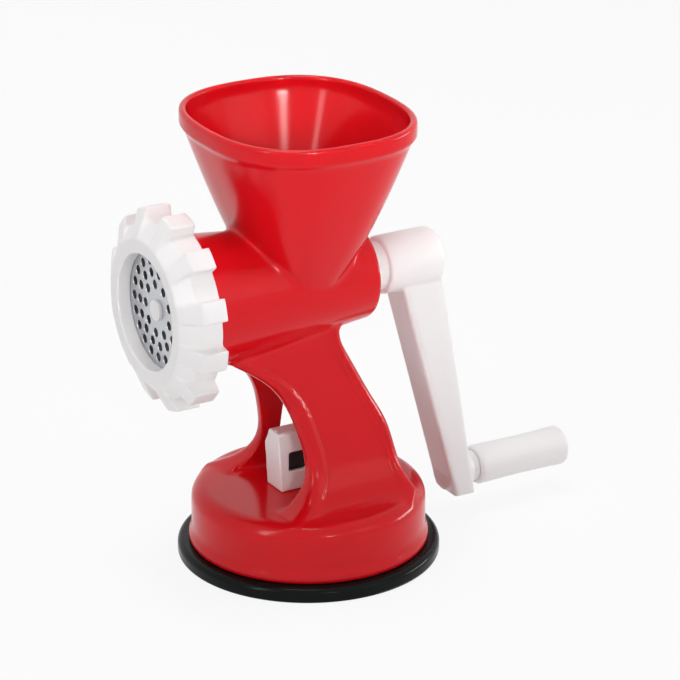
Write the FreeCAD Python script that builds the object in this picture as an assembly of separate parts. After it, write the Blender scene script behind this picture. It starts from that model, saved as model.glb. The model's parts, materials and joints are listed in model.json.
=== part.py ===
import FreeCAD, Part
import math
import os

# Hand crank meat grinder on a suction foot.
# Millimetres. The origin is the centre of the foot on the table, +Z is up.
# The barrel lies along X: the outlet points to -X and the crank is at +X.

# Clearances and small roundings
RUNNING_FIT = 0.05
LOOSE_FIT = 0.3
SOCKET_FIT = 0.1
MOULD_EDGE = 1.0
METAL_EDGE = 0.5
OVERCUT = 1.0
NEARLY_FLAT = 89.5

# Suction foot and drum
FOOT_RADIUS = 70.0
FOOT_HEIGHT = 8.0
FOOT_EDGE = 3.2
FOOT_UNDER_EDGE = 1.6
CUP_DISH = 3.0
CUP_DISH_SLOPE = 6.0
CUP_LIP = 4.0
DRUM_FLANGE_HEIGHT = 5.0
DRUM_TOP = 39.0
DRUM_SHOULDER = 8.0
DRUM_WALL = 3.5
DRUM_FLANGE_RADIUS = FOOT_RADIUS - 6.0
DRUM_RADIUS = FOOT_RADIUS - 7.7

# Barrel and feed axis
AXIS_Z = 153.0
BARREL_MOUTH_X = -84.0
BARREL_END_X = 30.0
BARREL_FRONT_RADIUS = 36.2
BARREL_END_RADIUS = 25.4
BARREL_WALL = 3.6
BARREL_EDGE = 1.5
BORE_ROUND = 2.0
REAR_WALL = 6.0
THREAD_LENGTH = 10.5
THREAD_RADIUS = BARREL_FRONT_RADIUS + 1.3

# Hopper: a rounded square funnel that sinks into the barrel
HOPPER_BASE_Z = AXIS_Z + 5.0
HOPPER_BAND_Z = AXIS_Z + 83.2
HOPPER_RIM_Z = AXIS_Z + 92.5
HOPPER_BASE_HALF = (15.5, 27.6)
HOPPER_TOP_HALF = (53.4, 60.5)
HOPPER_SWELL = (0.75, 0.86)
HOPPER_SQUARENESS = (2.9, 2.55)
HOPPER_CENTRE_X = (-11.8, -5.6)
HOPPER_CENTRE_SWELL = 0.25
HOPPER_WALL = 3.0
HOPPER_RIM_WALL = 3.6
HOPPER_BAND_STEP = 1.7
HOPPER_RIM_EDGE = 0.9
HOPPER_POINTS = 32
HOPPER_LEVELS = 7

# Stand: (share of the rise from drum to axis, front x, rear x, half width)
STAND_RISE = AXIS_Z - DRUM_TOP
STAND_SECTIONS = [
    (-0.053, -50.0, 47.0, 52.0),
    (0.004, -34.0, 43.0, 46.5),
    (0.053, -23.0, 40.5, 39.8),
    (0.114, -17.5, 38.3, 35.0),
    (0.202, -15.5, 36.5, 31.0),
    (0.325, -17.8, 33.3, 27.4),
    (0.447, -22.0, 26.5, 24.2),
    (0.570, -31.0, 19.5, 21.8),
    (0.675, -46.0, 13.5, 20.2),
    (0.781, -62.0, 10.0, 19.2),
    (0.886, -66.0, 9.0, 18.6),
]
STAND_EDGE = 4.5
STAND_FOOT_INSET = [(-0.079, 0.7), (-0.044, 1.1), (0.0, 2.5), (0.061, 5.3), (0.132, 7.3)]
PANEL_BORDER_FRONT = 8.0
PANEL_BORDER_REAR = 5.0
PANEL_DEPTH = 2.0
PANEL_RISE = (0.013, 0.807)
TUNNEL_FOOT_HALF = 28.0
TUNNEL_TOP_HALF = 14.5
TUNNEL_CROWN_HALF = 10.9
TUNNEL_CROWN_ROUND = 8.1
TUNNEL_SPRING_RISE = 0.491
TUNNEL_CROWN_RISE = 0.605
WINDOW_X = (-4.0, 21.0)
WINDOW_RISE = (0.132, 0.360)
WINDOW_CORNER = 4.0

# Cutting plate, knife and ring nut
PLATE_RADIUS = THREAD_RADIUS - 4.5
PLATE_THICKNESS = 5.5
PLATE_SEAT = 2.0
PLATE_SHELF = 3.0
PLATE_CENTRE_HOLE = 5.5
PLATE_HOLE_RADIUS = 2.4
PLATE_HOLE_EDGE = 0.2
PLATE_RINGS = [(0.403, 9), (0.591, 15), (0.782, 20)]
PLATE_KEY_RADIUS = 1.6
PLATE_KEY_LENGTH = 5.0
KNIFE_THICKNESS = 5.0
KNIFE_BLADE_THICKNESS = 4.0
KNIFE_RADIUS = PLATE_RADIUS - 5.0
KNIFE_HUB_RADIUS = 9.5
KNIFE_ROOT = (-4.0, 2.0)
KNIFE_TIP = (-2.8, 4.0)
KNIFE_BLADES = 4
DRIVE_SQUARE = 10.0
NUT_LIP = 7.6
NUT_LENGTH = 21.0
NUT_OPENING = PLATE_RADIUS - 2.5
NUT_FACE_RADIUS = THREAD_RADIUS + 0.5
NUT_ROOT_RADIUS = THREAD_RADIUS + 8.8
NUT_LUG_RADIUS = THREAD_RADIUS + 15.3
NUT_CONE = 7.5
NUT_LUGS = 12
NUT_LUG_SHARE = 0.43
NUT_LUG_START = 7.6

# Auger
AUGER_PITCH = 27.0
AUGER_FLIGHT_ROOT = 4.5
AUGER_FLIGHT_TIP = 2.7
AUGER_FLIGHT_SINK = 3.0
AUGER_CORE_FRONT = 9.5
AUGER_CORE_REAR = 12.0
AUGER_GAP = 0.8
NOSE_PROUD = 1.5
SHAFT_RADIUS = 8.0
SHAFT_SQUARE = 11.0

# Rear bearing
BUSH_RADIUS = 12.5
BUSH_FLANGE_RADIUS = 16.5
BUSH_FLANGE = 3.0
BUSH_NECK_RADIUS = 13.5
BUSH_NECK = 7.6
SEAL_LENGTH = 3.0
SEAL_RADIUS = 11.0
WASHER_RADIUS = 13.0
WASHER_THICKNESS = 1.2

# Crank
HUB_FRONT_X = BARREL_END_X + BUSH_FLANGE + BUSH_NECK + WASHER_THICKNESS
HUB_LENGTH = 32.8
HUB_REAR_X = HUB_FRONT_X + HUB_LENGTH
HUB_RADIUS = 15.6
HUB_EDGE = 1.5
CRANK_RADIUS = 128.2
ARM_FRONT_AT_AXIS = HUB_FRONT_X + 6.4
ARM_FRONT_LEAN = 0.272
ARM_REAR_LEAN = 0.172
ARM_HALF_WIDTH_TOP = 11.2
ARM_HALF_WIDTH_END = 11.4
ARM_EDGE = 2.0
ARM_TAIL = 11.6
ARM_TAIL_ROUND = 2.2
SOCKET_DEPTH = 24.0
SCREW_RADIUS = 3.0
SCREW_HEAD_RADIUS = 6.0
SCREW_HEAD = 3.6
SCREW_HEAD_ROUND = 1.6
SCREW_SLOT_WIDTH = 1.4
SCREW_SLOT_LENGTH = 7.2
SCREW_SLOT_DEPTH = 1.6
SCREW_WASHER_RADIUS = 8.0
SCREW_WASHER = 1.2
SCREW_RECESS_RADIUS = 9.0
SCREW_RECESS = 6.0
SCREW_GRIP = 14.0

# Grip
BOSS_RADIUS = 10.4
BOSS_PROUD = 2.3
COLLAR_RADIUS = 8.4
COLLAR_LENGTH = 3.9
GRIP_RADIUS = 10.9
GRIP_LENGTH = 56.8
GRIP_WAIST = 0.5
GRIP_EDGE = 2.2
AXLE_RADIUS = 4.0
AXLE_COVER = 3.5
CAP_RADIUS = 8.0
CAP_DEPTH = 3.0
CAP_RECESS = 0.8

# Suction lever and plunger
PIN_HEIGHT = 16.5
PIN_RADIUS = 3.0
LEVER_HALF_WIDTH = 8.0
LEVER_CHEEK = 3.0
LEVER_FRONT_X = -20.6
LEVER_TOP_LEAN = 1.8
LEVER_HEIGHT = 34.0
LEVER_FRONT_WALL = 3.2
LEVER_TOP_WALL = 6.0
LEVER_TOP_REAR_X = 9.0
LEVER_CORNER = (6.0, 9.5)
LEVER_WEB = 2.0
LEVER_LIFT = 4.5
CAM_STEPS = 9
CAM_EASE = 0.3
QUARTER_TURN = 90.0
YOKE_X = (-16.0, 9.0)
YOKE_HEIGHT = 11.0
YOKE_HALF_WIDTH = 4.6
STEM_RADIUS = 4.4
STEM_COLLAR_RADIUS = 7.5
STEM_COLLAR_SPARE = 2.5
DISC_RADIUS = 34.0
DISC_THICKNESS = 3.0

# Sizes that follow from those above
PLATE_BACK_X = BARREL_MOUTH_X + PLATE_SEAT
PLATE_FACE_X = PLATE_BACK_X - PLATE_THICKNESS
NUT_FRONT_X = PLATE_FACE_X - NUT_LIP
NUT_BACK_X = NUT_FRONT_X + NUT_LENGTH
KNIFE_BACK_X = PLATE_BACK_X + KNIFE_THICKNESS
BORE_END_X = BARREL_END_X - REAR_WALL
SOCKET_END_X = HUB_FRONT_X + SOCKET_DEPTH
GRIP_Z = AXIS_Z - CRANK_RADIUS
AXLE_START_X = ARM_FRONT_AT_AXIS + CRANK_RADIUS * ARM_FRONT_LEAN + AXLE_COVER
BOSS_END_X = HUB_REAR_X + CRANK_RADIUS * ARM_REAR_LEAN + BOSS_PROUD
GRIP_START_X = BOSS_END_X + COLLAR_LENGTH + LOOSE_FIT
GRIP_END_X = GRIP_START_X + GRIP_LENGTH
AXLE_END_X = GRIP_END_X - CAP_RECESS - CAP_DEPTH / 2
CUP_FLOOR = FOOT_HEIGHT - CUP_DISH
PIN_Z = DRUM_TOP + PIN_HEIGHT
LEVER_TOP_Z = DRUM_TOP + LEVER_HEIGHT
STEP_FOLDER = "parts"


def vec(x, y, z):
    return FreeCAD.Vector(x, y, z)


def in_xz(u, v):
    return vec(u, 0, v)


def risen(share):
    """Height at a share of the stand's rise from the drum to the barrel's axis."""
    return DRUM_TOP + STAND_RISE * share


def rounded_wire(corners, place):
    """Closed outline through (u, v, radius) corners; place turns (u, v) into a point."""
    spots = []
    count = len(corners)
    for index, (u, v, radius) in enumerate(corners):
        here = vec(u, v, 0)
        before = vec(corners[index - 1][0], corners[index - 1][1], 0) - here
        after = vec(corners[(index + 1) % count][0], corners[(index + 1) % count][1], 0) - here
        before.normalize()
        after.normalize()
        half_angle = before.getAngle(after) / 2
        if radius <= 0 or half_angle > math.radians(NEARLY_FLAT):
            spots.append((here, None, here))
            continue
        run = radius / math.tan(half_angle)
        middle = before + after
        middle.normalize()
        crown = here + middle * (radius / math.sin(half_angle) - radius)
        spots.append((here + before * run, crown, here + after * run))
    edges = []
    for index, (start, crown, end) in enumerate(spots):
        following = spots[(index + 1) % count][0]
        if crown is not None:
            points = [place(p.x, p.y) for p in (start, crown, end)]
            edges.append(Part.Arc(*points).toShape())
        if end.distanceToPoint(following) > 1e-6:
            edges.append(Part.makeLine(place(end.x, end.y), place(following.x, following.y)))
    return Part.Wire(edges)


def turned_x(corners, axis_z=AXIS_Z, angle=360.0):
    """Solid of revolution about the line along X at axis_z from (x, r, radius) corners."""
    wire = rounded_wire(corners, lambda u, v: vec(u, 0, axis_z + v))
    return Part.Face(wire).revolve(vec(0, 0, axis_z), vec(1, 0, 0), angle)


def turned_z(corners):
    """Solid of revolution about Z from (r, z, radius) corners."""
    return Part.Face(rounded_wire(corners, in_xz)).revolve(vec(0, 0, 0), vec(0, 0, 1), 360)


def rod_x(radius, start, end, y=0.0, z=AXIS_Z):
    return Part.makeCylinder(radius, end - start, vec(start, y, z), vec(1, 0, 0))


def rod_y(radius, start, end, x, z):
    return Part.makeCylinder(radius, end - start, vec(x, start, z), vec(0, 1, 0))


def rod_z(radius, start, end):
    return Part.makeCylinder(radius, end - start, vec(0, 0, start), vec(0, 0, 1))


def block(x, y, z):
    """Box from three (low, high) pairs."""
    return Part.makeBox(x[1] - x[0], y[1] - y[0], z[1] - z[0], vec(x[0], y[0], z[0]))


def slab_y(corners, start, end):
    """Outline of (x, z, radius) corners pulled along Y from start to end."""
    face = Part.Face(rounded_wire(corners, lambda u, v: vec(u, start, v)))
    return face.extrude(vec(0, end - start, 0))


def ring_of(shape, count, axis_point, axis):
    """Copies of a shape spaced evenly about an axis."""
    copies = []
    for index in range(count):
        copy = shape.copy()
        copy.rotate(axis_point, axis, 360.0 * index / count)
        copies.append(copy)
    return copies


def save(name, shape):
    shape = shape.Solids[0] if len(shape.Solids) == 1 else shape
    if not shape.isValid():
        raise ValueError(name + " is not a valid shape")
    shape.exportStep(os.path.join(STEP_FOLDER, name + ".step"))
    print(name, len(shape.Solids), round(shape.Volume / 1000, 2), "cm3")


def blend(pair, share):
    return pair[0] + (pair[1] - pair[0]) * share


def barrel_radius(x):
    """Outside radius of the tapered barrel behind the thread."""
    start = BARREL_MOUTH_X + THREAD_LENGTH
    return blend((BARREL_FRONT_RADIUS, BARREL_END_RADIUS), (x - start) / (BARREL_END_X - start))


def bore_radius(x):
    """Inside radius of the tapered barrel behind the plate's seat."""
    front = barrel_radius(PLATE_BACK_X) - BARREL_WALL - PLATE_SHELF
    rear = barrel_radius(BORE_END_X) - BARREL_WALL
    return blend((front, rear), (x - PLATE_BACK_X) / (BORE_END_X - PLATE_BACK_X))


def squircle(half_x, half_y, power, centre_x, z):
    """Rounded square outline |x/a|^n + |y/b|^n = 1 as one closed smooth curve."""
    points = []
    for index in range(HOPPER_POINTS):
        turn = 2 * math.pi * index / HOPPER_POINTS
        c = math.cos(turn)
        s = math.sin(turn)
        reach = (abs(c) ** power + abs(s) ** power) ** (-1 / power)
        points.append(vec(centre_x + half_x * reach * c, half_y * reach * s, z))
    steps = [index / HOPPER_POINTS for index in range(HOPPER_POINTS + 1)]
    curve = Part.BSplineCurve()
    curve.interpolate(Points=points, PeriodicFlag=True, Parameters=steps)
    return Part.Wire([curve.toShape()])


def hopper_outline(z, inset):
    """Hopper section at a height, drawn in by an inset."""
    share = max(0.0, (z - HOPPER_BASE_Z) / (HOPPER_BAND_Z - HOPPER_BASE_Z))
    half_x = blend((HOPPER_BASE_HALF[0], HOPPER_TOP_HALF[0]), share ** HOPPER_SWELL[0])
    half_y = blend((HOPPER_BASE_HALF[1], HOPPER_TOP_HALF[1]), share ** HOPPER_SWELL[1])
    centre = blend(HOPPER_CENTRE_X, share ** HOPPER_CENTRE_SWELL)
    return squircle(half_x - inset, half_y - inset, blend(HOPPER_SQUARENESS, share), centre, z)


def hopper_loft(inset, top):
    """Funnel from the barrel axis to a top height."""
    levels = [AXIS_Z]
    levels += [blend((HOPPER_BASE_Z, top), index / (HOPPER_LEVELS - 1)) for index in range(1, HOPPER_LEVELS)]
    return Part.makeLoft([hopper_outline(z, inset) for z in levels], True)


def hopper_stack(heights):
    """Ruled stack of the band's outline at (height, inset) levels."""
    wires = []
    for z, inset in heights:
        wire = hopper_outline(HOPPER_BAND_Z, inset)
        wire.translate(vec(0, 0, z - HOPPER_BAND_Z))
        wires.append(wire)
    return Part.makeLoft(wires, True, True)


def hopper_band():
    """Raised band round the rim, with its top edge eased."""
    step = HOPPER_BAND_STEP
    return hopper_stack([
        (HOPPER_BAND_Z, -step),
        (HOPPER_RIM_Z - HOPPER_RIM_EDGE, -step),
        (HOPPER_RIM_Z, HOPPER_RIM_EDGE - step),
    ])


def hopper_inside():
    """Funnel's inside, upright along the rim."""
    inset = HOPPER_RIM_WALL - HOPPER_BAND_STEP
    upright = hopper_stack([(AXIS_Z - OVERCUT, inset), (HOPPER_RIM_Z + 2 * OVERCUT, inset)])
    return hopper_loft(HOPPER_WALL, HOPPER_RIM_Z + OVERCUT).common(upright)


def stand_loft(front_in, rear_in, side_out, levels, edge):
    """Tapering pillar through the stand's sections, kept to a range of heights."""
    wires = []
    for share, front, rear, half in STAND_SECTIONS:
        z = risen(share)
        corners = [
            (front + front_in, -half - side_out, edge),
            (rear - rear_in, -half - side_out, edge),
            (rear - rear_in, half + side_out, edge),
            (front + front_in, half + side_out, edge),
        ]
        wires.append(rounded_wire(corners, lambda u, v: vec(u, v, z)))
    pillar = Part.makeLoft(wires, True)
    reach = 4 * DRUM_RADIUS
    return pillar.common(block((-reach, reach), (-reach, reach), levels))


def make_stand():
    """Two splayed walls that meet in an arch under the barrel, with bordered panels outside."""
    low = risen(STAND_SECTIONS[0][0])
    high = risen(STAND_SECTIONS[-1][0])
    far = 2 * DRUM_RADIUS
    pillar = stand_loft(0.0, 0.0, 0.0, (low, high), STAND_EDGE)
    skirt = [(DRUM_RADIUS - inset, risen(share), 0) for share, inset in STAND_FOOT_INSET]
    skirt += [(far, high + OVERCUT, 0), (0, high + OVERCUT, 0), (0, skirt[0][1], 0)]
    pillar = pillar.common(turned_z(skirt))
    levels = (risen(PANEL_RISE[0]), risen(PANEL_RISE[1]))
    core = stand_loft(PANEL_BORDER_FRONT, PANEL_BORDER_REAR, PANEL_DEPTH, levels, STAND_EDGE)
    floor = stand_loft(-PANEL_DEPTH, -PANEL_DEPTH, -PANEL_DEPTH, levels, STAND_EDGE)
    stand = pillar.cut(core.cut(floor))
    spring = risen(TUNNEL_SPRING_RISE)
    crown = risen(TUNNEL_CROWN_RISE)
    tunnel = [
        (-TUNNEL_FOOT_HALF, low - OVERCUT, 0),
        (-TUNNEL_FOOT_HALF, DRUM_TOP, 0),
        (-TUNNEL_TOP_HALF, spring, 0),
        (-TUNNEL_CROWN_HALF, crown, TUNNEL_CROWN_ROUND),
        (TUNNEL_CROWN_HALF, crown, TUNNEL_CROWN_ROUND),
        (TUNNEL_TOP_HALF, spring, 0),
        (TUNNEL_FOOT_HALF, DRUM_TOP, 0),
        (TUNNEL_FOOT_HALF, low - OVERCUT, 0),
    ]
    face = Part.Face(rounded_wire(tunnel, lambda u, v: vec(-far, u, v)))
    stand = stand.cut(face.extrude(vec(2 * far, 0, 0)))
    sill = risen(WINDOW_RISE[0])
    head = risen(WINDOW_RISE[1])
    window = [
        (WINDOW_X[0], sill, WINDOW_CORNER),
        (WINDOW_X[1], sill, WINDOW_CORNER),
        (WINDOW_X[1] - WINDOW_CORNER, head, WINDOW_CORNER),
        (WINDOW_X[0], head, WINDOW_CORNER),
    ]
    return stand.cut(slab_y(window, 0.0, far))


def make_drum():
    foot = FOOT_HEIGHT
    flange = foot + DRUM_FLANGE_HEIGHT
    return turned_z([
        (0, foot, 0),
        (DRUM_FLANGE_RADIUS, foot, 0),
        (DRUM_FLANGE_RADIUS, flange, MOULD_EDGE),
        (DRUM_RADIUS, flange, METAL_EDGE),
        (DRUM_RADIUS, DRUM_TOP, DRUM_SHOULDER),
        (0, DRUM_TOP, 0),
    ])


def make_barrel():
    thread_end = BARREL_MOUTH_X + THREAD_LENGTH
    return turned_x([
        (BARREL_MOUTH_X, 0, 0),
        (BARREL_MOUTH_X, THREAD_RADIUS, MOULD_EDGE),
        (thread_end, THREAD_RADIUS, 0),
        (thread_end, BARREL_FRONT_RADIUS, 0),
        (BARREL_END_X, BARREL_END_RADIUS, BARREL_EDGE),
        (BARREL_END_X, 0, 0),
    ])


def make_bore():
    seat = PLATE_RADIUS + LOOSE_FIT
    return turned_x([
        (BARREL_MOUTH_X - OVERCUT, 0, 0),
        (BARREL_MOUTH_X - OVERCUT, seat, 0),
        (PLATE_BACK_X, seat, 0),
        (PLATE_BACK_X, bore_radius(PLATE_BACK_X), 0),
        (BORE_END_X, bore_radius(BORE_END_X), BORE_ROUND),
        (BORE_END_X, 0, 0),
    ])


def make_drum_shell():
    """Foot drum, hollow from below, with the plunger's hole in its top."""
    hollow = turned_z([
        (0, FOOT_HEIGHT - OVERCUT, 0),
        (DRUM_RADIUS - DRUM_WALL, FOOT_HEIGHT - OVERCUT, 0),
        (DRUM_RADIUS - DRUM_WALL, DRUM_TOP - DRUM_WALL, DRUM_SHOULDER - DRUM_WALL),
        (0, DRUM_TOP - DRUM_WALL, 0),
    ])
    hole = rod_z(STEM_RADIUS + LOOSE_FIT, DRUM_TOP - DRUM_WALL - OVERCUT, DRUM_TOP + OVERCUT)
    return make_drum().cut(hollow).cut(hole)


def make_barrel_shell():
    """Barrel with its bore, throat, bearing seat and the dowel's hole."""
    barrel = make_barrel().cut(make_bore())
    barrel = barrel.cut(hopper_loft(HOPPER_WALL, HOPPER_RIM_Z + OVERCUT))
    barrel = barrel.cut(rod_x(BUSH_RADIUS, BORE_END_X - OVERCUT, BARREL_END_X + OVERCUT))
    return barrel.cut(key_pin())


def make_hopper_shell():
    """Funnel with a banded rim that ends on the barrel's outside."""
    hopper = hopper_loft(0.0, HOPPER_BAND_Z).fuse(hopper_band())
    return hopper.cut(hopper_inside()).cut(make_barrel())


def make_stand_shell():
    """Stand between the drum's top and the barrel's underside."""
    return make_stand().cut(make_drum()).cut(make_barrel())


def key_pin():
    """Dowel in the barrel's mouth that stops the plate from turning."""
    end = BARREL_MOUTH_X + PLATE_KEY_LENGTH
    return rod_x(PLATE_KEY_RADIUS, BARREL_MOUTH_X, end, 0.0, AXIS_Z + PLATE_RADIUS)


def make_plate():
    plate = rod_x(PLATE_RADIUS, PLATE_FACE_X, PLATE_BACK_X)
    start = PLATE_FACE_X - OVERCUT
    end = PLATE_BACK_X + OVERCUT
    holes = [rod_x(PLATE_CENTRE_HOLE, start, end)]
    for share, count in PLATE_RINGS:
        reach = PLATE_RADIUS * share
        wide = PLATE_HOLE_RADIUS + PLATE_HOLE_EDGE
        mouth = vec(PLATE_FACE_X, reach, AXIS_Z)
        edge = Part.makeCone(wide, PLATE_HOLE_RADIUS, PLATE_HOLE_EDGE, mouth, vec(1, 0, 0))
        hole = rod_x(PLATE_HOLE_RADIUS, start, end, reach).fuse(edge)
        holes += ring_of(hole, count, vec(0, 0, AXIS_Z), vec(1, 0, 0))
    notch = PLATE_KEY_RADIUS + RUNNING_FIT
    holes.append(rod_x(notch, start, end, 0.0, AXIS_Z + PLATE_RADIUS))
    return plate.cut(holes)


def make_knife():
    """Cross of blades on a square drive, ground flat against the plate."""
    knife = rod_x(KNIFE_HUB_RADIUS, PLATE_BACK_X, KNIFE_BACK_X)
    corners = [
        (KNIFE_ROOT[0], 0, 0),
        (KNIFE_ROOT[1], 0, 0),
        (KNIFE_TIP[1], KNIFE_RADIUS, METAL_EDGE),
        (KNIFE_TIP[0], KNIFE_RADIUS, METAL_EDGE),
    ]
    face = Part.Face(rounded_wire(corners, lambda u, v: vec(PLATE_BACK_X, u, AXIS_Z + v)))
    blade = face.extrude(vec(KNIFE_BLADE_THICKNESS, 0, 0))
    knife = knife.fuse(ring_of(blade, KNIFE_BLADES, vec(0, 0, AXIS_Z), vec(1, 0, 0)))
    socket = DRIVE_SQUARE + 2 * SOCKET_FIT
    return knife.cut(square_bar(socket, PLATE_BACK_X - OVERCUT, KNIFE_BACK_X + OVERCUT))


def square_bar(side, start, end):
    half = side / 2
    return block((start, end), (-half, half), (AXIS_Z - half, AXIS_Z + half))


def make_auger():
    """Feed screw: tapered core, one flight, front square and nose, rear journal and square."""
    rear = BORE_END_X - AUGER_GAP
    front = KNIFE_BACK_X
    core = turned_x([
        (front, 0, 0),
        (front, AUGER_CORE_FRONT, 0),
        (rear, AUGER_CORE_REAR, 0),
        (rear, 0, 0),
    ])
    helix = Part.makeHelix(AUGER_PITCH, rear - front, AUGER_CORE_FRONT)
    inner = AUGER_CORE_FRONT - AUGER_FLIGHT_SINK
    outer = BARREL_FRONT_RADIUS
    root = AUGER_FLIGHT_ROOT / 2
    tip = AUGER_FLIGHT_TIP / 2
    profile = Part.makePolygon([
        vec(inner, 0, -root),
        vec(outer, 0, -tip),
        vec(outer, 0, tip),
        vec(inner, 0, root),
        vec(inner, 0, -root),
    ])
    flight = Part.Wire(helix).makePipeShell([profile], True, True)
    flight = flight.mirror(vec(0, 0, 0), vec(0, 1, 0))
    flight.rotate(vec(0, 0, 0), vec(0, 1, 0), QUARTER_TURN)
    flight.translate(vec(front, 0, AXIS_Z))
    limit = turned_x([
        (front, 0, 0),
        (front, bore_radius(front) - AUGER_GAP, 0),
        (rear, bore_radius(rear) - AUGER_GAP, 0),
        (rear, 0, 0),
    ])
    pieces = [
        flight.common(limit),
        square_bar(DRIVE_SQUARE, PLATE_BACK_X, front),
        rod_x(PLATE_CENTRE_HOLE - RUNNING_FIT, PLATE_FACE_X - NOSE_PROUD, PLATE_BACK_X),
        rod_x(SHAFT_RADIUS, rear, HUB_FRONT_X),
        square_bar(SHAFT_SQUARE, HUB_FRONT_X, SOCKET_END_X),
    ]
    auger = core.fuse(pieces)
    return auger.cut(rod_x(SCREW_RADIUS, SOCKET_END_X - SCREW_GRIP, SOCKET_END_X + OVERCUT))


def make_nut():
    """Ring nut: a coned root with lugs, a front lip over the plate and a plain threaded bore."""
    ridge_x = NUT_FRONT_X + NUT_CONE
    inner = NUT_OPENING

    def ring(outer, edge, angle):
        return turned_x([
            (NUT_FRONT_X, inner, 0),
            (NUT_FRONT_X, NUT_FACE_RADIUS, 0),
            (ridge_x, outer, edge),
            (NUT_BACK_X, outer, edge),
            (NUT_BACK_X, inner, 0),
        ], AXIS_Z, angle)

    lug = ring(NUT_LUG_RADIUS, MOULD_EDGE, 360.0 / NUT_LUGS * NUT_LUG_SHARE)
    centre = vec(0, 0, AXIS_Z)
    lug.rotate(centre, vec(1, 0, 0), NUT_LUG_START)
    nut = ring(NUT_ROOT_RADIUS, MOULD_EDGE, 360.0).fuse(ring_of(lug, NUT_LUGS, centre, vec(1, 0, 0)))
    return nut.cut(rod_x(THREAD_RADIUS + LOOSE_FIT, PLATE_FACE_X, NUT_BACK_X + OVERCUT))


def make_bush():
    """Flanged bearing in the barrel's rear wall; its neck reaches back to the crank."""
    washer = HUB_FRONT_X - WASHER_THICKNESS
    flange = BARREL_END_X + BUSH_FLANGE
    return turned_x([
        (BORE_END_X, SHAFT_RADIUS + RUNNING_FIT, 0),
        (BORE_END_X, BUSH_RADIUS, 0),
        (BARREL_END_X, BUSH_RADIUS, 0),
        (BARREL_END_X, BUSH_FLANGE_RADIUS, 0),
        (flange, BUSH_FLANGE_RADIUS, MOULD_EDGE),
        (flange, BUSH_NECK_RADIUS, 0),
        (washer, BUSH_NECK_RADIUS, METAL_EDGE),
        (washer, SEAL_RADIUS, 0),
        (washer - SEAL_LENGTH, SEAL_RADIUS, 0),
        (washer - SEAL_LENGTH, SHAFT_RADIUS + RUNNING_FIT, 0),
    ])


def make_seal():
    """Rubber ring in the end of the bush."""
    end = HUB_FRONT_X - WASHER_THICKNESS
    ring = rod_x(SEAL_RADIUS, end - SEAL_LENGTH, end)
    return ring.cut(rod_x(SHAFT_RADIUS + RUNNING_FIT, end - SEAL_LENGTH - OVERCUT, end + OVERCUT))


def make_thrust_washer():
    start = HUB_FRONT_X - WASHER_THICKNESS
    ring = rod_x(WASHER_RADIUS, start, HUB_FRONT_X)
    return ring.cut(rod_x(SHAFT_RADIUS + RUNNING_FIT, start - OVERCUT, HUB_FRONT_X + OVERCUT))


def arm_front_x(z):
    return ARM_FRONT_AT_AXIS + (AXIS_Z - z) * ARM_FRONT_LEAN


def arm_rear_x(z):
    return HUB_REAR_X + (AXIS_Z - z) * ARM_REAR_LEAN


def make_crank_arm():
    """Hub, leaning tapered arm and grip boss in one moulding."""
    hub = turned_x([
        (HUB_FRONT_X, 0, 0),
        (HUB_FRONT_X, HUB_RADIUS, HUB_EDGE),
        (HUB_REAR_X, HUB_RADIUS, HUB_EDGE),
        (HUB_REAR_X, 0, 0),
    ])
    sections = []
    for z, half in ((AXIS_Z, ARM_HALF_WIDTH_TOP), (GRIP_Z - 2 * BOSS_RADIUS, ARM_HALF_WIDTH_END)):
        corners = [
            (arm_front_x(z), -half, ARM_EDGE),
            (arm_rear_x(z), -half, ARM_EDGE),
            (arm_rear_x(z), half, ARM_EDGE),
            (arm_front_x(z), half, ARM_EDGE),
        ]
        sections.append(rounded_wire(corners, lambda u, v: vec(u, v, z)))
    arm = Part.makeLoft(sections, True, True)
    outline = [
        (-HUB_RADIUS, AXIS_Z, 0),
        (HUB_RADIUS, AXIS_Z, 0),
        (ARM_HALF_WIDTH_END, GRIP_Z - ARM_TAIL, ARM_TAIL_ROUND),
        (-ARM_HALF_WIDTH_END, GRIP_Z - ARM_TAIL, ARM_TAIL_ROUND),
    ]
    plate = Part.Face(rounded_wire(outline, lambda u, v: vec(0, u, v)))
    arm = arm.common(plate.extrude(vec(BOSS_END_X + BOSS_RADIUS, 0, 0)))
    boss = turned_x([
        (arm_front_x(GRIP_Z), 0, 0),
        (arm_front_x(GRIP_Z), BOSS_RADIUS, ARM_EDGE),
        (BOSS_END_X, BOSS_RADIUS, MOULD_EDGE),
        (BOSS_END_X, 0, 0),
    ], GRIP_Z)
    recess = HUB_REAR_X - SCREW_RECESS
    crank = hub.fuse([arm, boss])
    cuts = [
        square_bar(SHAFT_SQUARE + 2 * SOCKET_FIT, HUB_FRONT_X - OVERCUT, SOCKET_END_X),
        rod_x(SCREW_RADIUS + LOOSE_FIT, SOCKET_END_X - OVERCUT, HUB_REAR_X + OVERCUT),
        rod_x(SCREW_RECESS_RADIUS, recess, HUB_REAR_X + OVERCUT),
        rod_x(AXLE_RADIUS, AXLE_START_X, BOSS_END_X + OVERCUT, 0.0, GRIP_Z),
    ]
    for cut in cuts:
        crank = crank.cut(cut)
    return crank


def make_screw_washer():
    seat = HUB_REAR_X - SCREW_RECESS
    ring = rod_x(SCREW_WASHER_RADIUS, seat, seat + SCREW_WASHER)
    return ring.cut(rod_x(SCREW_RADIUS + LOOSE_FIT, seat - OVERCUT, seat + SCREW_WASHER + OVERCUT))


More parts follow.
